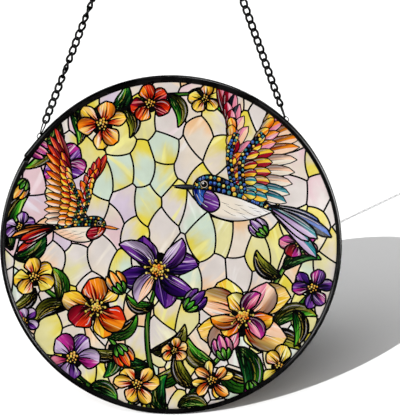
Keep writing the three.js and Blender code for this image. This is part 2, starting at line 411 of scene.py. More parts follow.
def wire(name, lines, diameter, stands_for, closed=True):
    """One piece made of a wire along each line, riding on the body and standing for that node."""
    points, faces = [], []
    for line in lines:
        first = len(points)
        points += wire_rings(line, diameter / 2 * MM, closed)
        faces += [
            tuple(first + corner for corner in face)
            for face in swept_faces(len(line), WIRE_SIDES, closed)
        ]
    piece = mesh_object(name, points, faces)
    piece.data.materials.append(wire_paint)
    lit["metal"].objects.link(piece)
    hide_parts(stands_for)
    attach(piece, "root")
    print(f"{name}: {len(faces)} faces")


# %% [markdown]
# A rim loop is a low arch of thin wire soldered to the rim's outside, wide enough to let a link
# through. Its feet run a little way into the rim, as if sunk in their solder. The loops are set by
# eye, so the right one sits higher than the left.

# %% Bend the rim loops
LOOP_ANGLES = {-1: math.radians(49.5), 1: math.radians(41.9)}
LOOP_WIRE = 0.55
LOOP_HEIGHT = 1.55
LOOP_SPAN = 3.7
LOOP_SQUARENESS = 0.7
ARCH_STEPS = 24
FOOT_DEPTH = 0.25
SIDES = {"left": -1, "right": 1}


def on_rim(side, along, out):
    """A point beside a loop's middle: along the rim towards its top, and out from the rim."""
    angle = side * LOOP_ANGLES[side]
    reach = RIM_RADIUS + out * MM
    outwards = Vector((math.sin(angle), 0, math.cos(angle)))
    towards_top = Vector((-side * math.cos(angle), 0, side * math.sin(angle)))
    return disc_centre + outwards * reach + towards_top * along * MM


for word, side in SIDES.items():
    arch = []
    for k in range(ARCH_STEPS + 1):
        angle = math.pi * k / ARCH_STEPS
        height = LOOP_HEIGHT * math.sin(angle) ** LOOP_SQUARENESS
        arch.append(on_rim(side, LOOP_SPAN / 2 * math.cos(angle), height))
    feet = [on_rim(side, end * LOOP_SPAN / 2, -FOOT_DEPTH) for end in (1, -1)]
    bent = feet[:1] + arch + feet[1:]
    wire(f"wire_loop_{word}", [bent], LOOP_WIRE, stands_for=f"rim_loop_{word}", closed=False)

# %% [markdown]
# A run of chain hangs in a straight line from the ring to the place inside the loop's hole where the
# long link pulls. Everything on it is first laid out straight down from the ring's middle, then
# swung to that slant. A curb link is an oval whose two ends are twisted against each other, so that
# links can lie flat against their neighbours. The same twisted oval, with other sizes, makes the
# long link.

# %% Lay out the runs of chain
RING_WIRE = 1.6
RING_GAP = 0.6
JUMP_WIRE = 0.8
JUMP_LENGTH = 9.2
JUMP_WIDTH = 3.9
LINKS = {-1: 41, 1: 39}
LINK_WIRE = 1.35
LINK_WIDTH = 4.85
LINK_TWIST = math.radians(-40)
LINK_BITE = 0.12
OVAL_FULLNESS = 0.85
LOOP_GAP = 0.2
LINK_STEPS = 28
LONG_LINK_STEPS = 40
RING_STEPS = 64

ring_radius = (ring_high.x - ring_low.x) / MM / 2 - RING_WIRE / 2
first_end = ring_radius - (RING_WIRE + LINK_WIRE) / 2 - RING_GAP
link_reach = LINK_WIRE * math.sqrt(math.pi) / 2 - LINK_BITE
pull_along = LOOP_SPAN / 2 - (JUMP_WIRE + LOOP_WIRE) / 2 - LOOP_GAP
pull_out = (LOOP_HEIGHT - LOOP_WIRE / 2) / 2

run_slant, jump_middle, link_pitch = {}, {}, {}
for side in SIDES.values():
    run_line = (on_rim(side, pull_along, pull_out) - ring_centre) / MM
    run_slant[side] = math.atan2(-run_line.x, -run_line.z)
    jump_bottom = run_line.length
    jump_top = jump_bottom - (JUMP_LENGTH - JUMP_WIRE)
    jump_middle[side] = (jump_bottom + jump_top) / 2
    last_end = jump_top + (JUMP_WIRE + LINK_WIRE) / 2 + FIT_GAP
    link_pitch[side] = (last_end - first_end - link_reach) / LINKS[side]
    print(
        f"{LINKS[side]} links, {link_pitch[side]:.2f} mm apart,",
        f"slanting {abs(math.degrees(run_slant[side])):.1f} degrees",
    )


def on_run(side, across, front, down):
    """A point beside a run, as millimetres in the run's own straight-hanging frame."""
    slant = run_slant[side]
    x = across * math.cos(slant) - down * math.sin(slant)
    z = -across * math.sin(slant) - down * math.cos(slant)
    return ring_centre + Vector((x, front, z)) * MM


def twisted_oval(side, middle, half_length, width, turn, twist, steps):
    """The centreline of a link round that middle, down the run on that side."""
    line = []
    for k in range(steps):
        angle = 2 * math.pi * k / steps
        swell = math.copysign(abs(math.sin(angle)) ** OVAL_FULLNESS, math.sin(angle))
        rise = half_length * math.cos(angle)
        facing = turn + twist * rise / half_length
        across = width / 2 * swell
        line.append(on_run(side, across * math.cos(facing), across * math.sin(facing), middle - rise))
    return line


# %% [markdown]
# The links don't all face the same way. The left run turns half round every seven or eight links
# above the rim, so it shows now its face and now its edge. The right run lies flat but for its
# lowest links. Both stand nearly edge-on where they reach the ring.

# %% Turn the links and make both runs


def left_turn(from_rim):
    """How far a link of the left run faces round, in degrees, counted up from the rim."""
    settled, turning, half_turn_links, turn_at_ring = 2.7, 15, 7.6, 290
    lean, unevenness = -7, 12
    if from_rim < settled:
        return lean * (settled - from_rim)
    if from_rim > turning:
        share = (from_rim - turning) / (LINKS[-1] - 1 - turning)
        return left_turn(turning) * (1 - share) + turn_at_ring * share
    even = 180 / half_turn_links * (from_rim - settled)
    return even - unevenness * math.sin(math.radians(2 * even))


def right_turn(from_rim):
    """The same for the right run."""
    settled, free, turn_at_rim, turn_at_ring = 6, 17, -46, -70
    if from_rim < settled:
        return turn_at_rim * (1 - from_rim / settled) ** 1.25
    return turn_at_ring * max(0, (from_rim - free) / (LINKS[1] - 1 - free))


for (word, side), turn_of in zip(SIDES.items(), (left_turn, right_turn)):
    link_half = (link_pitch[side] + link_reach) / 2
    width = LINK_WIDTH - LINK_WIRE
    run = []
    for i in range(LINKS[side]):
        middle = first_end + link_half + i * link_pitch[side]
        turn = math.radians(turn_of(LINKS[side] - 1 - i))
        run.append(twisted_oval(side, middle, link_half, width, turn, LINK_TWIST, LINK_STEPS))
    wire(f"curb_chain_{word}", run, LINK_WIRE, stands_for=f"chain_{word}")

# %% [markdown]
# The long links join the chain to the loops. The lower bend of each must run from front to back to
# pass through its loop. The left one is twisted between its ends, so its middle shows half open.
# The ring at the top is plain, closed wire.

# %% Make the long links and the ring
for (word, side), (lower, upper) in zip(SIDES.items(), ((104, 132), (80, 74))):
    half_length = (JUMP_LENGTH - JUMP_WIRE) / 2
    turn, twist = math.radians((upper + lower) / 2), math.radians((upper - lower) / 2)
    width = JUMP_WIDTH - JUMP_WIRE
    oval = twisted_oval(side, jump_middle[side], half_length, width, turn, twist, LONG_LINK_STEPS)
    wire(f"long_link_{word}", [oval], JUMP_WIRE, stands_for=f"jump_link_{word}")

circle = []
for k in range(RING_STEPS):
    angle = 2 * math.pi * k / RING_STEPS
    circle.append(ring_centre + Vector((math.sin(angle), 0, math.cos(angle))) * ring_radius * MM)
wire("wire_ring", [circle], RING_WIRE, stands_for="hanging_ring")

# %% [markdown]
# ## The picture
# The pane's picture imitates leaded glass: pieces of streaky coloured glass, each outlined by a thin
# black line. It could be an image, but a drawing made of real shapes stays sharp at any distance and
# each piece of glass can have its own grain. So the picture is drawn like a paper collage. Every
# piece of glass and every black line is an outline on a flat sheet, in millimetres from the pane's
# middle, and whatever is laid down later covers what lies under it. At the end the whole collage
# becomes one flat mesh.

# %% Colours of glass
LINE_WIDTH = 1.05


def glasses(table):
    """Each glass with its tones, at its root, at its tip and in its light streaks, as light."""
    return {
        name: [tuple((value / 255) ** 2.2 for value in tone) for tone in tones]
        for name, tones in table.items()
    }


GLASS = glasses({
    "violet": ((34, 8, 74), (112, 52, 150), (226, 194, 236)),
    "deep violet": ((14, 4, 44), (58, 20, 108), (150, 108, 190)),
    "magenta": ((98, 4, 70), (184, 44, 142), (250, 214, 236)),
    "wine": ((56, 0, 14), (156, 14, 38), (240, 140, 140)),
    "rose": ((172, 36, 90), (234, 140, 164), (255, 232, 234)),
    "red": ((122, 4, 4), (222, 48, 16), (255, 190, 120)),
    "orange": ((190, 40, 2), (246, 138, 22), (255, 228, 150)),
    "gold": ((200, 108, 8), (246, 202, 56), (255, 246, 196)),
    "lemon": ((206, 170, 24), (242, 226, 100), (253, 250, 214)),
    "leaf": ((4, 70, 22), (66, 168, 36), (212, 234, 120)),
    "deep leaf": ((0, 22, 12), (10, 98, 42), (120, 190, 96)),
    "olive": ((50, 60, 8), (150, 152, 40), (234, 226, 150)),
    "teal": ((2, 46, 74), (26, 134, 148), (178, 232, 226)),
    "blue": ((6, 20, 104), (48, 104, 204), (196, 218, 248)),
    "night": ((2, 3, 8), (16, 18, 30), (120, 128, 146)),
    "bark": ((2, 2, 2), (14, 13, 6), (222, 200, 84)),
    "black": ((4, 4, 5), (12, 11, 14), (60, 58, 62)),
    "cream": ((214, 190, 160), (238, 226, 208), (252, 250, 244)),
    "peach": ((236, 160, 108), (248, 206, 174), (255, 238, 224)),
    "lilac": ((140, 108, 164), (202, 178, 212), (242, 234, 248)),
    "white": ((224, 220, 220), (246, 244, 242), (255, 255, 255)),
    "apricot": ((206, 40, 4), (250, 206, 110), (255, 248, 222)),
})
LINE = "line"
print(len(GLASS), "kinds of glass")

# %% [markdown]
# A shape on the sheet is its outline, its glass and the way its grain runs. The grain has a root, a
# tip and a half width: colours run from root to tip, and streaks lie along that way. Black lines are
# shapes too, ribbons as wide as the line that narrow to a point where a brush would lift.

# %% Lay shapes on the sheet
Shape = namedtuple("Shape", "outline kind root tip half_width streaks")
sheet = []


def point(x, y):
    """A place on the sheet, or a step across it."""
    return np.array((x, y), float)


def heading(degrees, length=1.0):
    """A step of that length in that direction, in degrees from rightwards towards up."""
    return point(math.cos(math.radians(degrees)), math.sin(math.radians(degrees))) * length


def lay(outline, kind, root=None, tip=None, half_width=None, streaks=2.5):
    """Adds a piece of glass. Without a grain it runs across the outline's own height."""
    outline = np.asarray(outline, float)
    low, high = outline.min(axis=0), outline.max(axis=0)
    root = point((low[0] + high[0]) / 2, low[1]) if root is None else root
    tip = point((low[0] + high[0]) / 2, high[1]) if tip is None else tip
    half_width = max(0.4, (high[0] - low[0]) / 2) if half_width is None else half_width
    sheet.append(Shape(outline, kind, root, tip, half_width, streaks))


def bow(start, end, bulge, steps):
    """A bent line whose middle stands off to its left by bulge times its length."""
    start, end = np.asarray(start, float), np.asarray(end, float)
    way = end - start
    left = point(-way[1], way[0])
    t = np.linspace(0, 1, steps + 1)[:, None]
    return start + way * t + left * bulge * 4 * t * (1 - t)


def smooth_line(points, steps=5):
    """A smooth line through the points."""
    points = [np.asarray(p, float) for p in points]
    line = []
    for i, (here, after) in enumerate(zip(points, points[1:])):
        before = points[max(0, i - 1)]
        beyond = points[min(i + 2, len(points) - 1)]
        square = 2 * before - 5 * here + 4 * after - beyond
        cube = 3 * here - before - 3 * after + beyond
        for k in range(steps):
            t = k / steps
            line.append(0.5 * (2 * here + (after - before) * t + square * t**2 + cube * t**3))
    return np.array(line + points[-1:])


def beside(path, offset):
    """The path moved to its left by offset, one number or one for each of its points."""
    slope = np.gradient(path, axis=0)
    slope /= np.linalg.norm(slope, axis=1, keepdims=True) + 1e-9
    left = np.column_stack((-slope[:, 1], slope[:, 0]))
    return path + left * np.reshape(offset, (-1, 1))


def stroke(path, width=LINE_WIDTH, start=1.0, end=1.0, kind=LINE):
    """A ribbon along the path. start and end are its width there, as a share of the whole."""
    path = np.asarray(path, float)
    t = np.linspace(0, 1, len(path))
    swell = np.minimum(1, start + (1 - start) * t / 0.35)
    swell *= np.minimum(1, end + (1 - end) * (1 - t) / 0.35)
    half = np.maximum(width / 2 * swell, 0.03)
    lay(np.vstack((beside(path, half), beside(path, -half)[::-1])), kind, path[0], path[-1], width)


def outline_of(loop, width=LINE_WIDTH):
    """A line all round a closed outline."""
    loop = np.asarray(loop)
    stroke(np.vstack((loop, loop[:2])), width)


print("the sheet is a disc", round(2 * PANE_RADIUS / MM), "mm across")

# %% [markdown]
# Most of the picture is one shape over and over: a blade with a root, a tip, a widest place and a
# bend. A petal, a leaf and a feather are all blades. A blade is often cut along its middle into two
# glasses, which is how the glazier shows a fold, and a pale thin stroke near an edge stands for the
# light on it.

# %% Cut a blade


def blade(root, tip, width, kinds, bend=0.0, belly=0.55, fullness=0.75, middle=0.8, light=True,
          ink=(), line=LINE_WIDTH, streaks=2.5, steps=9):
    """A petal, leaf or feather. kinds is one glass, or two for its left and right halves.

    belly is how far along it is widest, and fullness below 1 makes it rounder there. middle is how
    much of the middle line is drawn, and light adds the pale stroke. ink draws fine lines from its
    root, each at a share of its half width and for a share of its length.
    """
    kinds = [kinds] if isinstance(kinds, str) else kinds
    spine = bow(root, tip, bend, steps)
    t = np.linspace(0, 1, steps + 1)
    swell = np.sin(np.pi * t ** (math.log(0.5) / math.log(belly))) ** fullness
    half = width / 2 * np.maximum(swell, 0)
    half[0] = width * 0.04
    half[-1] = 0.0
    left, right = beside(spine, half), beside(spine, -half)
    grain = {"root": spine[0], "tip": spine[-1], "half_width": width / 2, "streaks": streaks}
    if len(kinds) == 1:
        lay(np.vstack((left, right[::-1])), kinds[0], **grain)
    else:
        lay(np.vstack((left, spine[::-1])), kinds[0], **grain)
        lay(np.vstack((right, spine[::-1])), kinds[1], **grain)
    if light:
        edge = beside(spine, half * 0.68)[2:-2]
        stroke(edge, 0.3 + width * 0.025, 0.1, 0.1, "white")
    for share, reach in ink:
        vein = beside(spine, half * share)[: max(3, round(len(spine) * reach))]
        stroke(vein, 0.3 + width * 0.03, 1.0, 0.05)
    if middle:
        stroke(spine[: max(3, round(len(spine) * middle))], line * 0.75, 1.0, 0.1)
    stroke(left, line)
    stroke(right, line)
    return spine, left, right


LEAF_INK = ((0.35, 0.7), (-0.3, 0.85), (0.7, 0.5), (-0.65, 0.6))
PETAL_INK = ((0.36, 0.62), (-0.34, 0.54), (0.68, 0.4), (-0.66, 0.46))
HEART_KINDS = ("gold", "lemon", "gold")
GOLDEN_TURN = 137.5


def veined_leaf(root, tip, width, kinds, bend):
    """A leaf of two glasses with fine shading lines and side veins."""
    spine, left, right = blade(
        root, tip, width, kinds, bend, belly=0.42, fullness=0.8, middle=0.95, ink=LEAF_INK, steps=12
    )
    stroke(beside(spine, width * 0.09)[3:-2], 0.45, 0.1, 0.1, "lemon")
    for start in (3, 5):
        for edge in (left, right):
            end = edge[start + 3] * 0.85 + spine[start + 3] * 0.15
            stroke(bow(spine[start], end, 0, 3), 0.35, 1, 0.1)


def disc(centre, radius, kind, line, corners=14):
    """A round piece of glass, with a line round it if line isn't 0."""
    a = np.linspace(0, 2 * np.pi, corners, endpoint=False)
    ring = np.column_stack((np.cos(a), np.sin(a))) * radius + centre
    lay(ring, kind)
    if line:
        outline_of(ring, line)


def beads(centre, radius, count, kinds, size):
    """A black flower heart sown with small round beads, turned on from one to the next as seeds are."""
    disc(centre, radius, LINE, 0, 18)
    for k in range(count):
        reach = (radius - size * 0.9) * math.sqrt((k + 0.5) / count)
        spot = centre + heading(k * GOLDEN_TURN, reach)
        disc(spot, size * (0.8 + 0.25 * math.sin(k * 2.4)), kinds[k % len(kinds)], 0, 7)


def blossom(centre, radius, count, width, kinds, turn, flat, lean, heart, bend, **shape):
    """A flower seen from the front. flat below 1 tips it away along the direction lean."""
    leaned = heading(lean)

    def tipped(reach):
        return reach - leaned * float(reach @ leaned) * (1 - flat)

    disc(centre, radius * 0.42, LINE, 0)
    for k in sorted(range(count), key=lambda k: (k % 2, k)):
        length = radius * (1 + 0.07 * math.sin(2.7 * k + turn))
        reach = tipped(heading(turn + 360 * k / count + 5 * math.sin(4.1 * k + turn), length))
        broad = width * (1 + 0.12 * math.cos(3.3 * k + turn))
        start = centre + reach * heart * 0.4
        blade(start, centre + reach, broad, kinds[k % len(kinds)], bend * (-1) ** k, **shape)
    beads(centre, radius * heart, max(8, round(radius * 0.8)), HEART_KINDS, radius * 0.05)


print("a blade, a leaf, a disc and a blossom are ready")

# %% [markdown]
# The ground between the motifs is pale glass in tall, bent cells. Seeds are strewn over the sheet,
# not too close together, and each cell is the part nearest its own seed, measured so that cells come
# out taller than wide. Each edge is then bowed a little, always the same way for both of its cells.

# %% Lay the pale ground
SHEET_RADIUS = PANE_RADIUS / MM
TALLNESS = 1.55
SEED_SPACING = 11.0
SEED_TRIES = 6000
SEED_REACH = 110.0
CELL_REACH = 40.0


def strewn_seeds(rng):
    """Seeds over the sheet and a little past it, in coordinates squeezed upright by TALLNESS."""
    seeds = []
    for _ in range(SEED_TRIES):
        x, y = (rng.uniform(-SEED_REACH, SEED_REACH) for _ in range(2))
        seed = point(x, y / TALLNESS)
        spacing = SEED_SPACING * rng.uniform(0.8, 1.3)
        if all(np.linalg.norm(seed - other) > spacing for other in seeds):
            seeds.append(seed)
    return seeds


def cell_round(seed, seeds):
    """The corners of the cell nearest to that seed, by cutting a square with each bisector."""
    corners = [seed + point(x, y) * CELL_REACH for x, y in SQUARE]
    for other in seeds:
        if other is seed or np.linalg.norm(other - seed) > 1.5 * CELL_REACH:
            continue
        middle, away = (seed + other) / 2, other - seed
        kept = []
        for here, after in zip(corners, corners[1:] + corners[:1]):
            d1, d2 = float((here - middle) @ away), float((after - middle) @ away)
            if d1 <= 0:
                kept.append(here)
            if d1 * d2 < 0:
                kept.append(here + (after - here) * d1 / (d1 - d2))
        corners = kept
    return corners


def ground_edge(start, end):
    """The bowed line between two corners of the ground, alike from either side."""
    swapped = tuple(start) > tuple(end)
    first, last = (end, start) if swapped else (start, end)
    middle = (first + last) / 2
    bulge = 0.09 * math.sin(0.37 * middle[0] + 0.61 * middle[1] + 1.3)
    path = bow(first, last, bulge, 6)
    return path[::-1] if swapped else path


def ground_glass(place, rng):
    """Which pale glass a cell there is, and the flame that runs through it, by broad areas."""
    x, y = place
    sunny = math.exp(-(((x - 4) / 44) ** 2 + ((y - 4) / 50) ** 2))
    if rng.random() < 0.15 + 0.6 * sunny:
        return rng.choice(("straw", "mist", "mint")), rng.choice(("sun", "sun", "straw"))
    if x < 0 < y + 20:
        return rng.choice(("mist", "haze", "pink")), rng.choice(("haze", "pink", "blush", "shell"))
    if y > 30:
        return rng.choice(("mist", "shell")), rng.choice(("blush", "sun", "pink", "mist"))
    return rng.choice(("mist", "mist", "shell")), rng.choice(("mist", "sun", "mint", "blush"))


GLASS.update(glasses({
    "mist": ((216, 206, 202), (224, 215, 210), (238, 233, 230)),
    "shell": ((222, 206, 184), (230, 217, 200), (246, 238, 226)),
    "straw": ((222, 214, 150), (228, 221, 160), (244, 241, 208)),
    "sun": ((222, 194, 40), (232, 214, 76), (244, 238, 150)),
    "haze": ((200, 178, 204), (214, 198, 216), (238, 230, 240)),
    "pink": ((226, 178, 190), (230, 198, 204), (244, 226, 230)),
    "mint": ((190, 216, 190), (208, 224, 206), (234, 242, 232)),
    "blush": ((240, 172, 96), (240, 194, 144), (250, 228, 200)),
}))
ground_rng = random.Random(5)
seeds = strewn_seeds(ground_rng)
lines_later = []
for seed in seeds:
    corners = [corner * point(1, TALLNESS) for corner in cell_round(seed, seeds)]
    place = seed * point(1, TALLNESS)
    if np.linalg.norm(place) > SHEET_RADIUS + 30 or len(corners) < 3:
        continue
    edges = [ground_edge(a, b) for a, b in zip(corners, corners[1:] + corners[:1])]
    outline = np.vstack([edge[:-1] for edge in edges])
    grain = heading(90 + ground_rng.uniform(-60, 60), 10) * ground_rng.choice((-1, 1))
    pair = ground_glass(place, ground_rng)
    lay(outline, pair, place - grain, place + grain * 1.6, 60, streaks=6)
    lines_later += [edge for edge in edges if tuple(edge[0]) < tuple(edge[-1])]
for edge in lines_later:
    stroke(edge, LINE_WIDTH)
print(len(seeds), "cells of ground")

# %% [markdown]
# Stems and leaves come next, because flowers and birds lie over them. A stem is a black line with a
# narrower green one on top. Leaves are cut from a bright and a dark green glass, and they sit in
# pairs where stems fork. All of them rise from the bottom, but for one branch at the top left.

# %% Grow the stems and leaves
STEM_WIDTH = 1.5


def stem(points):
    """A green stem with a black line on either side."""
    path = smooth_line(points)
    stroke(path, STEM_WIDTH + 2 * LINE_WIDTH, 1, 0.6)
    stroke(path, STEM_WIDTH, 1, 0.4, "leaf")


for line in (
    ((-2, -100), (-12, -72), (-14, -45), (-8, -20)),
    ((6, -100), (16, -80), (32, -62), (42, -46)),
    ((-12, -99), (-22, -74), (-36, -54), (-44, -38)),
    ((-20, -99), (-40, -88), (-54, -78), (-58, -68)),
    ((12, -99), (16, -92), (23, -82)),
    ((48, -52), (66, -44), (83, -26)),
    ((-48, -40), (-64, -32), (-80, -20)),
    ((-84, 60), (-62, 78), (-36, 80), (-10, 88), (18, 90)),
    ((-70, 73), (-66, 62), (-61, 52)),
    ((52, -40), (62, -20), (70, -6), (74, 0)),
):
    stem(line)

GREENS = (("leaf", "deep leaf"), ("bark", "leaf"), ("olive", "leaf"), ("bark", "olive"))
for k, (root, tip, width, bend) in enumerate(
    (
        ((-14, -70), (-34, -60), 11, 0.25),
        ((-12, -62), (8, -46), 10, -0.25),
        ((-13, -80), (6, -66), 10, -0.25),
        ((-24, -74), (-26, -96), 11, 0.25),
        ((-4, -98), (-2, -76), 10, 0.25),
        ((14, -84), (4, -62), 9, 0.2),
        ((26, -70), (10, -54), 11, 0.25),
        ((30, -72), (52, -80), 13, -0.25),
        ((38, -60), (42, -92), 13, 0.25),
        ((56, -58), (76, -62), 12, 0.25),
        ((60, -48), (86, -42), 10, 0.25),
        ((72, -38), (72, -60), 9, 0.2),
        ((66, -14), (88, -8), 9, 0.25),
        ((64, -18), (50, -2), 9, 0.2),
        ((72, -2), (88, 10), 8, 0.2),
        ((-40, -50), (-20, -40), 10, -0.25),
        ((-36, -58), (-40, -78), 9, 0.25),
        ((-60, -36), (-80, -46), 10, -0.25),
        ((-66, -32), (-70, -12), 9, -0.2),
        ((-50, -82), (-74, -64), 11, 0.2),
        ((-48, -84), (-32, -92), 9, 0.2),
        ((-80, -24), (-95, -36), 8, 0.2),
        ((-66, 76), (-86, 46), 9, 0.2),
        ((-58, 79), (-54, 60), 8, 0.2),
        ((-34, 81), (-26, 96), 8, -0.2),
        ((-28, 82), (-24, 64), 8, 0.25),
        ((-2, 89), (4, 70), 8, 0.25),
        ((10, 90), (32, 76), 8, 0.2),
        ((-62, 66), (-82, 60), 7, 0.2),
        ((-30, -62), (-50, -58), 8, 0.25),
        ((4, -96), (22, -98), 8, 0.3),
        ((-93, -2), (-82, 32), 12, 0.2),
        ((-92, -6), (-74, 10), 9, -0.25),
        ((50, -84), (68, -62), 9, -0.25),
        ((-4, -30), (14, -36), 8, 0.3),
        ((-10, -34), (-26, -28), 8, 0.3),
    )
):
    veined_leaf(point(*root), point(*tip), width, GREENS[k * 3 % len(GREENS)], bend)
print(len(sheet), "shapes with the stems and leaves")

# %% [markdown]
# The flowers are rings of blades round a black heart sown with gold beads. The largest has an outer
# and an inner ring, and the three large ones have thin gold stamens. None is an exact species. What
# matters is that petals turn in different directions, and that neighbours differ in colour.

# %% Open the flowers


def stamens(centre, reach, count, turn=0.0):
    """Thin gold threads with a bead at the end of each."""
    for k in range(count):
        angle = turn + 360 * k / count + 9 * math.sin(3.1 * k)
        end = centre + heading(angle, reach * (0.82 + 0.18 * math.sin(5.3 * k)))
        path = bow(centre, end, 0.12 * (-1) ** k, 4)
        stroke(path, 1.0)
        stroke(path, 0.5, kind="gold")
        disc(end, 0.95, LINE, 0, 8)
        disc(end, 0.7, "lemon", 0, 8)


def bud(root, tip, width, kinds):
    """A closed bud: three blades in a green cup."""
    root, tip = point(*root), point(*tip)
    length = np.linalg.norm(tip - root)
    way = math.degrees(math.atan2(*(tip - root)[::-1]))
    for turn, share in ((13, 0.9), (-13, 0.9), (0, 1.0)):
        end = root + heading(way + turn, length * share)
        blade(root, end, width * 0.7, kinds, 0.12 * np.sign(turn), middle=0)
    for turn in (24, -24, 0):
        end = root + heading(way + turn, length * 0.5)
        blade(root, end, width * 0.4, "leaf", 0.12 * np.sign(turn), middle=0)


clematis = point(-8, -14)
clematis_kinds = (
    ("violet", "deep violet"),
    ("lilac", "violet"),
    ("deep violet", "violet"),
    ("violet", "lilac"),
    ("deep violet", "deep violet"),
    ("peach", "lilac"),
    ("violet", "deep violet"),
)
blossom(clematis, 26, 8, 12.5, clematis_kinds, 12, 0.86, 70, 0.18, 0.13,
        belly=0.5, fullness=0.75, ink=PETAL_INK, streaks=3)
stamens(clematis, 7.5, 11)
beads(clematis, 4.6, 19, ("gold", "lemon", "gold", "orange"), 1.0)

peony = point(42, -42)
outer_kinds = (("apricot", "gold"), ("rose", "peach"), ("gold", "lemon"), ("peach", "apricot"))
inner_kinds = (("orange", "gold"), ("magenta", "rose"), ("gold", "lemon"), ("orange", "apricot"))
blossom(peony, 29, 8, 18, outer_kinds, 20, 0.84, 100, 0.1, 0.15,
        belly=0.58, fullness=0.66, ink=PETAL_INK, streaks=4)
blossom(peony, 18, 6, 10.5, inner_kinds, 0, 0.88, 100, 0.16, -0.18, belly=0.55, ink=PETAL_INK[:2])
stamens(peony, 7.5, 9, 10)
beads(peony, 4.4, 18, ("gold", "orange", "lemon", "gold"), 1.0)

poppy = point(-44, -36)
poppy_kinds = (("orange", "gold"), ("red", "orange"), ("apricot", "gold"), ("red", "wine"))
blossom(poppy, 19.5, 6, 14.5, poppy_kinds, 40, 0.9, 60, 0.2, 0.12,
        belly=0.62, fullness=0.6, ink=PETAL_INK, streaks=3.5)
stamens(poppy, 6.5, 9)
beads(poppy, 3.4, 14, ("lemon", "gold", "gold"), 0.85)

for place, radius, count, width, kinds, turn, flat in (
    ((83, -25), 13, 6, 8.0, (("violet", "deep violet"), ("magenta", "violet")), 10, 0.9),
    ((-80, -18), 13, 5, 10.5, (("gold", "lemon"), ("apricot", "gold")), 30, 0.85),
    ((-58, -66), 16, 5, 13, (("violet", "lilac"), ("lilac", "magenta"), ("violet", "rose")), 54, 0.92),
    ((-20, -82), 13.5, 6, 9.0, (("gold", "apricot"), ("apricot", "gold")), 0, 0.9),
    ((24, -80), 12.5, 8, 6.0, (("lemon", "gold"), ("apricot", "orange")), 8, 0.95),
    ((64, -72), 13, 5, 9.5, (("gold", "lemon"), ("apricot", "gold")), 70, 0.9),
    ((2, -62), 8.5, 5, 7.0, (("apricot", "apricot"), ("gold", "apricot")), 18, 0.9),
    ((-40, 72), 15.5, 6, 10.0, (("gold", "apricot"), ("apricot", "orange")), 16, 0.9),
    ((-12, 84), 12.5, 5, 10.0, (("red", "wine"), ("orange", "red")), 36, 0.85),
    ((-62, 48), 14, 5, 11.5, (("magenta", "violet"), ("rose", "magenta")), 50, 0.9),
    ((20, 87), 10, 5, 8.0, (("gold", "lemon"), ("apricot", "gold")), 20, 0.9),
    ((75, 2), 11.5, 5, 9.6, (("rose", "magenta"), ("magenta", "wine")), 28, 0.88),
    ((-88, 12), 9.5, 5, 7.6, (("violet", "lilac"), ("lilac", "violet")), 12, 0.9),
    ((-86, -44), 9, 5, 7.4, (("lilac", "violet"), ("magenta", "lilac")), 40, 0.9),
):
    blossom(point(*place), radius, count, width, kinds, turn, flat, turn + 70, 0.26, 0.1,
            belly=0.62, fullness=0.62, ink=PETAL_INK[:2])

for root, tip, width, kinds in (
    ((32, -68), (28, -52), 8, ("magenta", "rose")),
    ((-32, -58), (-24, -72), 8, ("orange", "red")),
    ((56, 6), (46, 16), 7, ("violet", "lilac")),
    ((-84, 40), (-92, 28), 7, ("orange", "gold")),
    ((-84, 62), (-70, 54), 7, ("rose", "magenta")),
    ((8, -38), (20, -26), 8, ("violet", "deep violet")),
    ((-28, -28), (-36, -14), 7, ("apricot", "orange")),
    ((46, -80), (50, -92), 7, ("rose", "magenta")),
):
    bud(root, tip, width, kinds)
print(len(sheet), "shapes with the flowers")

# %% [markdown]
# Two small birds with long thin bills fly among the flowers. Head and back are set with little
# round stones, the belly is pale, the throat dark and glossy. A wing is three rows of blades fanned
# out from its bone, long quills underneath and short ones on top, and a line of stones along its
# leading edge. Each bird is laid out facing left, in units of its own, and placed by its centre,
# scale, tilt and way round.

# %% Let the birds fly


def spot_along(path, share):
    """The point at that share of a path's points."""
    spot = share * (len(path) - 1)
    low = min(int(spot), len(path) - 2)
    return path[low] + (path[low + 1] - path[low]) * (spot - low)


def pebbles(upper, lower, columns, rows, kinds):
    """Round stones in staggered rows between two lines, on black."""
    lay(np.vstack((upper, lower[::-1])), LINE)
    for row in range(rows):
        for column in range(columns):
            share = (column + 0.5 + 0.5 * (row % 2)) / (columns + 0.5)
            high, low = spot_along(upper, share), spot_along(lower, share)
            before, after = share - 0.5 / columns, min(1, share + 0.5 / columns)
            ahead = spot_along(upper, after) - spot_along(upper, before)
            room = min(np.linalg.norm(high - low) / rows, np.linalg.norm(ahead))
            size = 0.43 * room * (1 + 0.12 * math.sin(5 * column + 3 * row))
            if size > 0.3:
                spot = high + (low - high) * (row + 0.5) / rows
                disc(spot, size, kinds[(column * 2 + row * 3) % len(kinds)], 0, 9)


WING_ROWS = ((1.0, 4.3, 0.0), (0.56, 4.0, 0.02), (0.3, 3.4, 0.04))  # length, width, first root


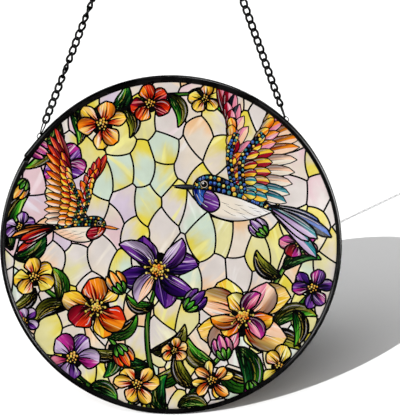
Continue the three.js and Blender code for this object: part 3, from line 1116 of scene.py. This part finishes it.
def bird(centre, scale, way, tilt, coat):
    """A small bird in flight, facing left if way is 1 and right if it is -1."""
    c, s = math.cos(math.radians(tilt)), math.sin(math.radians(tilt))

    def at(x, y):
        return centre + point(way * (x * c - y * s), x * s + y * c) * scale

    def curve(*spots):
        return smooth_line([at(*spot) for spot in spots])

    def quill(root, angle, length, width, kinds, bend=0.0, **shape):
        away = heading(angle, length)
        kinds = (kinds[1], kinds[0]) if way < 0 and len(kinds) == 2 else kinds
        tip = (root[0] + away[0], root[1] + away[1])
        blade(at(*root), at(*tip), width * scale, kinds, bend * way, **shape)

    def wing(shoulder, wrist, end, quills, first, last, longest, shortest, tones, small):
        """Quills fan from angle first at the hand to angle last at the body."""
        bone = smooth_line([point(*end), point(*wrist), point(*shoulder)], 12)
        for row, (share, width, start) in enumerate(WING_ROWS):
            count = quills - row
            for k in range(count):
                t = k / (count - 1)
                root = bone[round((start + t * 0.96) * (len(bone) - 1))]
                length = share * (longest + (shortest - longest) * t**0.8)
                kinds = tones[row][round(t * (len(tones[row]) - 1))]
                quill(root, first + (last - first) * t**0.9, length, width, kinds, 0.06,
                      belly=0.62, fullness=0.6, streaks=2.0, line=0.62, middle=0 if row else 0.85)
        upper = np.array([at(*spot) for spot in beside(bone, -1.0)])
        lower = np.array([at(*spot) for spot in beside(bone, 1.6)])
        pebbles(upper, lower, 15, 2, small)

    far, near = coat["wing"]
    wing((1, 3), (-2, 15), (0, 24), 9, 112, 42, 22, 12, far, coat["stones"])
    for k, angle in enumerate((-40, -14, -34, -20, -27)):
        quill((14, -2.4), angle, 24 + 4 * math.cos(k * 2.0), 4.6, coat["tail"][k % 2], 0.04,
              belly=0.66, fullness=0.5)
    back = curve((-14, 2.4), (-12.6, 5.2), (-9.4, 7), (-5.4, 6.9), (-1, 5.6), (5, 3.4), (11, 0.8),
                 (17, -2.6))
    flank = curve((-14, 1.2), (-11, 1.4), (-7, 1.2), (-2, 0.4), (4, -0.6), (9, -2), (13, -3.2),
                  (17, -4.4))
    belly = curve((-14, 1.2), (-13, -1.4), (-10.5, -4.6), (-6, -7.8), (0, -9.4), (6, -9), (12, -7),
                  (17, -4.4))
    lay(np.vstack((flank, belly[::-1])), coat["belly"], at(-6, -4), at(16, -4), 6 * scale, 1.4)
    for k in range(16):
        start = point(-3 + k * 1.05, -2.6 - 4.6 * (k * 0.618 % 1))
        end = start + heading(-14 - 9 * math.sin(k), 3.4)
        stroke([at(*start), at(*((start + end) / 2 + point(0, -0.15))), at(*end)], 0.28, 0.1, 0.1)
    stroke(belly, 0.9)
    throat = curve((-14, 1.3), (-13.2, -1.4), (-10.8, -4.8), (-6.5, -7), (-3.4, -4.8), (-4.2, -1.2),
                   (-7, 1.2))
    lay(throat, coat["throat"][0], at(-14, 0), at(-4, -3), 4 * scale, 2.5)
    chin = curve((-14, 1.3), (-13.2, -1.4), (-10.8, -4.8), (-9.4, -3.0), (-9.6, -0.4), (-8.4, 1.3))
    lay(chin, coat["throat"][1], at(-12, 2), at(-10, -5), 3 * scale, 2.5)
    stroke(chin[8:], 0.5)
    stroke(throat)
    stroke(curve((-12.4, -0.6), (-10.6, -3.4), (-7.6, -5.2)), 0.7, 0.1, 0.1, "white")
    stroke(curve((-11.6, 0.2), (-9, -2.2), (-5.6, -2.4)), 0.5, 0.1, 0.1)
    pebbles(back, flank, 19, 3, coat["stones"])
    stroke(back, 0.9)
    stroke(flank, 0.9)
    for angle, length, kind in ((187, 8.0, "black"), (182, 9.0, coat["bill"])):
        quill((-13, 1.9), angle, length, 1.7, [kind], middle=0, light=False, belly=0.3, fullness=1,
              line=0.4)
    disc(at(-9.9, 3.3), 1.5 * scale, "cream", 0.45, 14)
    disc(at(-9.9, 3.3), 1.15 * scale, LINE, 0, 12)
    disc(at(-10.3, 3.7), 0.36 * scale, "white", 0, 8)
    wing((5, 1.2), (3, 14), (10, 25), 13, 66, -8, 34, 17, near, coat["stones"])


bird(
    point(34, 30), 1.55, 1, -6,
    {
        "stones": ("teal", "blue", "gold", "teal", "night", "lemon", "blue"),
        "belly": ("cream", "white"),
        "throat": ("violet", "blue"),
        "bill": "night",
        "tail": (("teal", "lilac"), ("blue", "night")),
        "wing": (
            (
                (("wine", "rose"), ("night", "rose"), ("rose", "peach"), ("orange", "peach")),
                (("wine", "rose"), ("orange", "wine")),
                (("gold", "orange"), ("wine", "gold")),
            ),
            (
                (("wine", "rose"), ("rose", "peach"), ("orange", "peach"), ("peach", "cream"),
                 ("teal", "cream")),
                (("wine", "rose"), ("orange", "rose"), ("gold", "wine"), ("teal", "gold")),
                (("gold", "orange"), ("wine", "gold"), ("teal", "lemon")),
            ),
        ),
    },
)
bird(
    point(-52, 12), 1.0, -1, 8,
    {
        "stones": ("night", "olive", "teal", "night", "gold", "deep leaf"),
        "belly": ("cream", "peach"),
        "throat": ("wine", "red"),
        "bill": "orange",
        "tail": (("red", "wine"), ("orange", "night")),
        "wing": (
            (
                (("red", "wine"), ("orange", "red")),
                (("wine", "orange"), ("red", "wine")),
                (("gold", "red"), ("orange", "gold")),
            ),
            (
                (("wine", "red"), ("red", "orange"), ("orange", "peach"), ("peach", "cream")),
                (("wine", "orange"), ("red", "gold"), ("orange", "peach")),
                (("gold", "red"), ("orange", "gold")),
            ),
        ),
    },
)

# %% [markdown]
# ## The printed border
# The print ends in a black border, so no clear glass shows where the rim's lip is narrow. It lies a
# touch low on the pane, so more of its black shows along the top than along the bottom.

# %% Print the border
BORDER_RADIUS = 98.0
BORDER_WIDTH = 2.6
BORDER_DROP = 0.3
border = np.array([heading(angle, BORDER_RADIUS) for angle in range(0, 360, 2)])
outline_of(border - point(0, BORDER_DROP), BORDER_WIDTH)
print(len(sheet), "shapes in the whole picture")

# %% [markdown]
# ## The pane
# The collage now becomes one flat mesh. All outlines are pressed together into a single net of
# triangles, so that every edge of every shape is an edge of the net, and each triangle takes the
# glass of the topmost shape over its middle. Most of those edges lie hidden under later shapes, so
# a second net is made from only the edges that part two glasses, or glass and line. The lines end
# up flush with the glass, as print does.

# %% Press the collage into triangles
DISC_CORNERS = 256
LINE_SLACK = 0.012


def covered(outline, spots):
    """Which of the spots lie inside the closed outline, however often it winds round them."""
    here, after = outline, np.roll(outline, -1, axis=0)
    x, y = spots[:, :1], spots[:, 1:]
    rises = (here[:, 1] <= y) & (after[:, 1] > y)
    falls = (here[:, 1] > y) & (after[:, 1] <= y)
    climb = after[:, 1] - here[:, 1]
    climb = np.where(climb == 0, 1, climb)
    beyond = here[:, 0] + (after[:, 0] - here[:, 0]) * (y - here[:, 1]) / climb > x
    return (rises & beyond).sum(axis=1) != (falls & beyond).sum(axis=1)


def net_of(corners, edges, outlines):
    """Points, triangles and each triangle's topmost outline, within the first of the outlines."""
    corners = [tuple(corner) for corner in corners]
    net = delaunay_2d_cdt(corners, edges, [], 0, 1e-4, False)
    points, triangles = np.array([tuple(spot) for spot in net[0]]), np.array(net[2])
    middles = points[triangles].mean(axis=1)
    order = np.argsort(middles[:, 0])
    across = middles[order, 0]
    topmost = np.full(len(triangles), -1)
    for k, outline in enumerate(outlines):
        low, high = outline.min(axis=0), outline.max(axis=0)
        near = order[np.searchsorted(across, low[0]) : np.searchsorted(across, high[0])]
        near = near[(middles[near, 1] >= low[1]) & (middles[near, 1] <= high[1])]
        if k:
            near = near[topmost[near] >= 0]
        topmost[near[covered(outline, middles[near])]] = k
    inside = topmost >= 0
    return points, triangles[inside], topmost[inside]


def parting_edges(triangles, looks):
    """The edges with another look on their other side, or with nothing there."""
    edges = np.vstack([triangles[:, (i, (i + 1) % 3)] for i in range(3)])
    edges, which, sides = np.unique(
        np.sort(edges, axis=1), axis=0, return_inverse=True, return_counts=True
    )
    which = which.ravel()
    least, most = np.full(len(edges), len(sheet) + 1), np.full(len(edges), -1)
    np.minimum.at(least, which, np.tile(looks, 3))
    np.maximum.at(most, which, np.tile(looks, 3))
    return edges[(sides == 1) | (least != most)].tolist()


def straightened(points, edges, slack):
    """The same lines with fewer points, nowhere further than slack from where they were."""
    strays = {}
    for here, there in edges:
        strays.setdefault(here, {})[there] = 0.0
        strays.setdefault(there, {})[here] = 0.0
    for spot in list(strays):
        if len(strays[spot]) != 2:
            continue
        here, there = strays[spot]
        (dx, dy), (ox, oy) = points[there] - points[here], points[spot] - points[here]
        off = abs(dx * oy - dy * ox) / (math.hypot(dx, dy) + 1e-9)
        stray = off + max(strays[spot].values())
        if stray < slack and there not in strays[here]:
            for end, other in ((here, there), (there, here)):
                del strays[end][spot]
                strays[end][other] = stray
            del strays[spot]
    kept = {spot: i for i, spot in enumerate(strays)}
    edges = [(kept[a], kept[b]) for a in strays for b in strays[a] if a < b]
    return points[list(strays)], edges


def edges_of(outlines):
    """Every edge of the outlines, as two places in one list of all their corners."""
    edges, first = [], 0
    for outline in outlines:
        count = len(outline)
        edges += [(first + i, first + (i + 1) % count) for i in range(count)]
        first += count
    return edges


angles = np.linspace(0, 2 * np.pi, DISC_CORNERS, endpoint=False)
pane_ring = np.column_stack((np.cos(angles), np.sin(angles))) * SHEET_RADIUS
outlines = [pane_ring] + [shape.outline for shape in sheet]
all_points, all_triangles, all_topmost = net_of(np.vstack(outlines), edges_of(outlines), outlines)
print(len(all_points), "points and", len(all_triangles), "triangles in the whole net")

lines = np.array([k for k, shape in enumerate(sheet, 1) if shape.kind == LINE])
looks = np.where(np.isin(all_topmost, lines), 0, all_topmost)
seen = straightened(all_points, parting_edges(all_triangles, looks), LINE_SLACK)
net_points, net_triangles, topmost = net_of(*seen, outlines)
used, numbers = np.unique(net_triangles, return_inverse=True)
points, triangles = net_points[used], numbers.reshape(-1, 3)
print(len(points), "points and", len(triangles), "triangles on the pane's front")

# %% [markdown]
# The print shows on both sides, so the back of the pane is the same net seen from behind. A wall of
# plain glass joins the two along their rims and closes the mesh. Each corner then gets two pairs of
# coordinates: how far it lies along and across its own piece of glass, for the grain, and its place
# on a flat layout of the two discs and the wall, so that its colours can be kept as a picture.

# %% Make the pane's mesh
LAYOUT_RADIUS = 0.288
LAYOUT_MIDDLES = ((0.295, 0.295), (0.705, 0.705))
STRIP_LEFT, STRIP_LENGTH = 0.62, 0.36
STRIP_LOW, STRIP_HIGH = 0.02, 0.05
WALL_TONE = 0.6


def tones(kind):
    """Root, tip and streak colours of one glass, or of a blend of two pale ones."""
    if kind == LINE:
        return GLASS["black"]
    if isinstance(kind, str):
        return GLASS[kind]
    first, second = (GLASS[name] for name in kind)
    return [first[1], second[1], second[2]]


def of_each_shape(field):
    """That field of every shape on the sheet, as an array."""
    return np.array([getattr(shape, field) for shape in sheet])


def lengthwise_and_across(corners, shape):
    """Each corner's place along and across its own piece of glass."""
    way = tips[shape] - roots[shape]
    length = np.linalg.norm(way, axis=1, keepdims=True) + 1e-6
    way = way / length
    off = points[corners] - roots[shape]
    lengthwise = (off * way).sum(axis=1) / length[:, 0]
    across = (off[:, 0] * way[:, 1] - off[:, 1] * way[:, 0]) / half_widths[shape]
    return np.column_stack((lengthwise, across))


def store(name, numbers, plain):
    """Keeps numbers with the faces: for the front, again for the back, and plain for the wall."""
    numbers = np.concatenate((numbers, numbers, np.full((len(wall), *numbers.shape[1:]), plain)))
    way, value = ("FLOAT_VECTOR", "vector") if numbers.ndim > 1 else ("FLOAT", "value")
    pane.data.attributes.new(name, way, "FACE").data.foreach_set(value, numbers.ravel())


count = len(points)
middle_z = (pane_low.z + pane_high.z) / 2
skins = [
    np.column_stack((points[:, 0] * MM, np.full(count, y), points[:, 1] * MM + middle_z))
    for y in (pane_low.y, pane_high.y)
]
ways_round = {}
for face in triangles:
    for here, after in zip(face, np.roll(face, -1)):
        ways_round[(here, after)] = True
boundary = [(here, after) for here, after in ways_round if (after, here) not in ways_round]
wall = [(after, here, here + count, after + count) for here, after in boundary]
back = triangles[:, ::-1] + count
pane = mesh_object("printed_pane", np.vstack(skins), [*triangles, *back, *wall], smooth=False)
lit["glass"].objects.link(pane)

lain = np.maximum(topmost - 1, 0)  # which shape of the sheet each triangle of the front shows
sheet_tones = np.array([tones(shape.kind) for shape in sheet])
for k, name in enumerate(("root_colour", "tip_colour", "streak_colour")):
    store(name, sheet_tones[lain, k], WALL_TONE)
store("streaks", of_each_shape("streaks")[lain], 1)
store("grain", lain * 1.37 % 50, 1)

roots, tips, half_widths = (of_each_shape(field) for field in ("root", "tip", "half_width"))
shape_of_corner = np.repeat(lain, 3)
grain_front = lengthwise_and_across(triangles.ravel(), shape_of_corner)
grain_back = lengthwise_and_across(triangles[:, ::-1].ravel(), shape_of_corner)
grain_wall = np.zeros((len(wall) * 4, 2))
petal = pane.data.uv_layers.new(name="petal")
petal.data.foreach_set("uv", np.vstack((grain_front, grain_back, grain_wall)).ravel())

laid_flat = points / SHEET_RADIUS * LAYOUT_RADIUS
front_place = laid_flat[triangles.ravel()] + LAYOUT_MIDDLES[0]
back_place = laid_flat[triangles[:, ::-1].ravel()] + LAYOUT_MIDDLES[1]
wall_place = []
for k in range(len(wall)):
    near, far = (STRIP_LEFT + STRIP_LENGTH * i / len(wall) for i in (k, k + 1))
    wall_place += [(far, STRIP_LOW), (near, STRIP_LOW), (near, STRIP_HIGH), (far, STRIP_HIGH)]
layout = pane.data.uv_layers.new(name="OFBake")
layout.data.foreach_set("uv", np.vstack((front_place, back_place, wall_place)).ravel())

is_line = np.array([shape.kind == LINE for shape in sheet])
paint_of_face = np.where(is_line[lain], 1, 0)
paints = np.concatenate((paint_of_face, paint_of_face, np.full(len(wall), 2)))
pane.data.polygons.foreach_set("material_index", paints)
print("wall of", len(wall), "faces;", int(paint_of_face.sum()), "triangles of line on the front")

# %% [markdown]
# One material serves every coloured piece, because root, tip and streak colours come with the faces.
# Noise stretched along the grain pushes the change from root to tip back and forth, and a second one
# draws the light streaks, so no two petals are alike. The glass is milky and lets a little light
# through; its face is glossy and just wavy enough to bend a reflection. The lines are a denser print
# with less gloss.

# %% Make the glass
MILKY = 0.12  # the share of light that goes through
CLOUD_SIZE = 12 * MM
GLOSS_SIZE = 30 * MM
WAVE_SIZE = 18 * MM
WAVE_DEPTH = 0.25 * MM
INK_SIZE = 2 * MM
FROST_SIZE = 1.5 * MM


def stored(tree, name, output):
    """That output of a stored value, read at each face or corner."""
    return node(tree, "Attribute", output, attribute_name=name)


def maths(tree, operation, first, second):
    """first and second put together; each is an output or a number."""
    return node(tree, "Math", "Value", first, second, operation=operation)


def grain_noise(tree, place, changes_along, changes_across, seed, detail):
    """Noise drawn out along the grain: so many changes along, and across, each piece of glass."""
    crosswise = maths(tree, "MULTIPLY", stored(tree, "streaks", "Fac"), changes_across)
    x = maths(tree, "MULTIPLY", place["X"], changes_along)
    y = maths(tree, "MULTIPLY", place["Y"], crosswise)
    z = maths(tree, "ADD", stored(tree, "grain", "Fac"), seed)
    return noise(tree, node(tree, "CombineXYZ", "Vector", x, y, z), 1.0, detail)


def streaky_glass():
    """Milky glass, whose root, tip and streak colours come with its faces."""
    material, shader = shader_material(
        "streaky opal glass", IOR=1.5, Specular_IOR_Level=0.08, Transmission_Weight=MILKY
    )
    tree = material.node_tree
    split = tree.nodes.new("ShaderNodeSeparateXYZ")
    tree.links.new(stored(tree, "petal", "Vector"), split.inputs[0])
    lengthwise, across = split.outputs["X"], split.outputs["Y"]

    push = spread(tree, grain_noise(tree, split.outputs, 1.1, 1.0, 0.0, 3), 0.2, 0.8, -0.5, 0.5)
    change = spread(tree, maths(tree, "ADD", lengthwise, push), 0.16, 0.84, way="SMOOTHSTEP")
    ends = [stored(tree, name, "Color") for name in ("root_colour", "tip_colour")]
    colour = blend_colours(tree, change, *ends)
    fine = grain_noise(tree, split.outputs, 0.8, 2.1, 7.0, 2)
    glint = spread(tree, fine, 0.54, 0.7, 0.0, 0.85, "SMOOTHSTEP")
    colour = blend_colours(tree, glint, colour, stored(tree, "streak_colour", "Color"))
    near_edge = spread(tree, maths(tree, "ABSOLUTE", across, 0), 0.5, 1.05, 0.0, 0.9, "SMOOTHSTEP")
    colour = blend_colours(tree, near_edge, colour, (0.3, 0.28, 0.32), "MULTIPLY")

    place = node(tree, "TexCoord", "Object")
    cloud = spread(tree, noise(tree, place, 1 / CLOUD_SIZE, 3), 0.3, 0.7)
    colour = blend_colours(tree, cloud, colour, (0.88, 0.87, 0.86), "MULTIPLY")
    gloss = spread(tree, noise(tree, place, 1 / GLOSS_SIZE, 2), 0.3, 0.7, 0.1, 0.2)
    paint_with(tree, shader, colour, gloss, noise(tree, place, 1 / WAVE_SIZE, 2), WAVE_DEPTH)
    return material


def printed_line():
    """Dense black print, a little uneven."""
    material, shader = shader_material("black printed line", IOR=1.5, Specular_IOR_Level=0.02)
    tree = material.node_tree
    ink = spread(tree, noise(tree, node(tree, "TexCoord", "Object"), 1 / INK_SIZE, 2), 0.3, 0.7)
    colour = blend_colours(tree, ink, (0.0005, 0.0005, 0.0005), (0.003, 0.003, 0.003))
    paint_with(tree, shader, colour, spread(tree, ink, 0.0, 1.0, 0.22, 0.36))
    return material


def cut_edge():
    """The glass's own greenish cut edge, frosted by the grinding."""
    material, shader = shader_material("cut glass edge", IOR=1.5, Transmission_Weight=0.4)
    tree = material.node_tree
    frost = noise(tree, node(tree, "TexCoord", "Object"), 1 / FROST_SIZE, 3)
    colour = blend_colours(tree, frost, (0.42, 0.56, 0.5), (0.6, 0.68, 0.62))
    paint_with(tree, shader, colour, spread(tree, frost, 0.3, 0.7, 0.3, 0.55))
    return material


for material in (streaky_glass(), printed_line(), cut_edge()):
    pane.data.materials.append(material)
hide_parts("glass_pane")
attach(pane, "root")
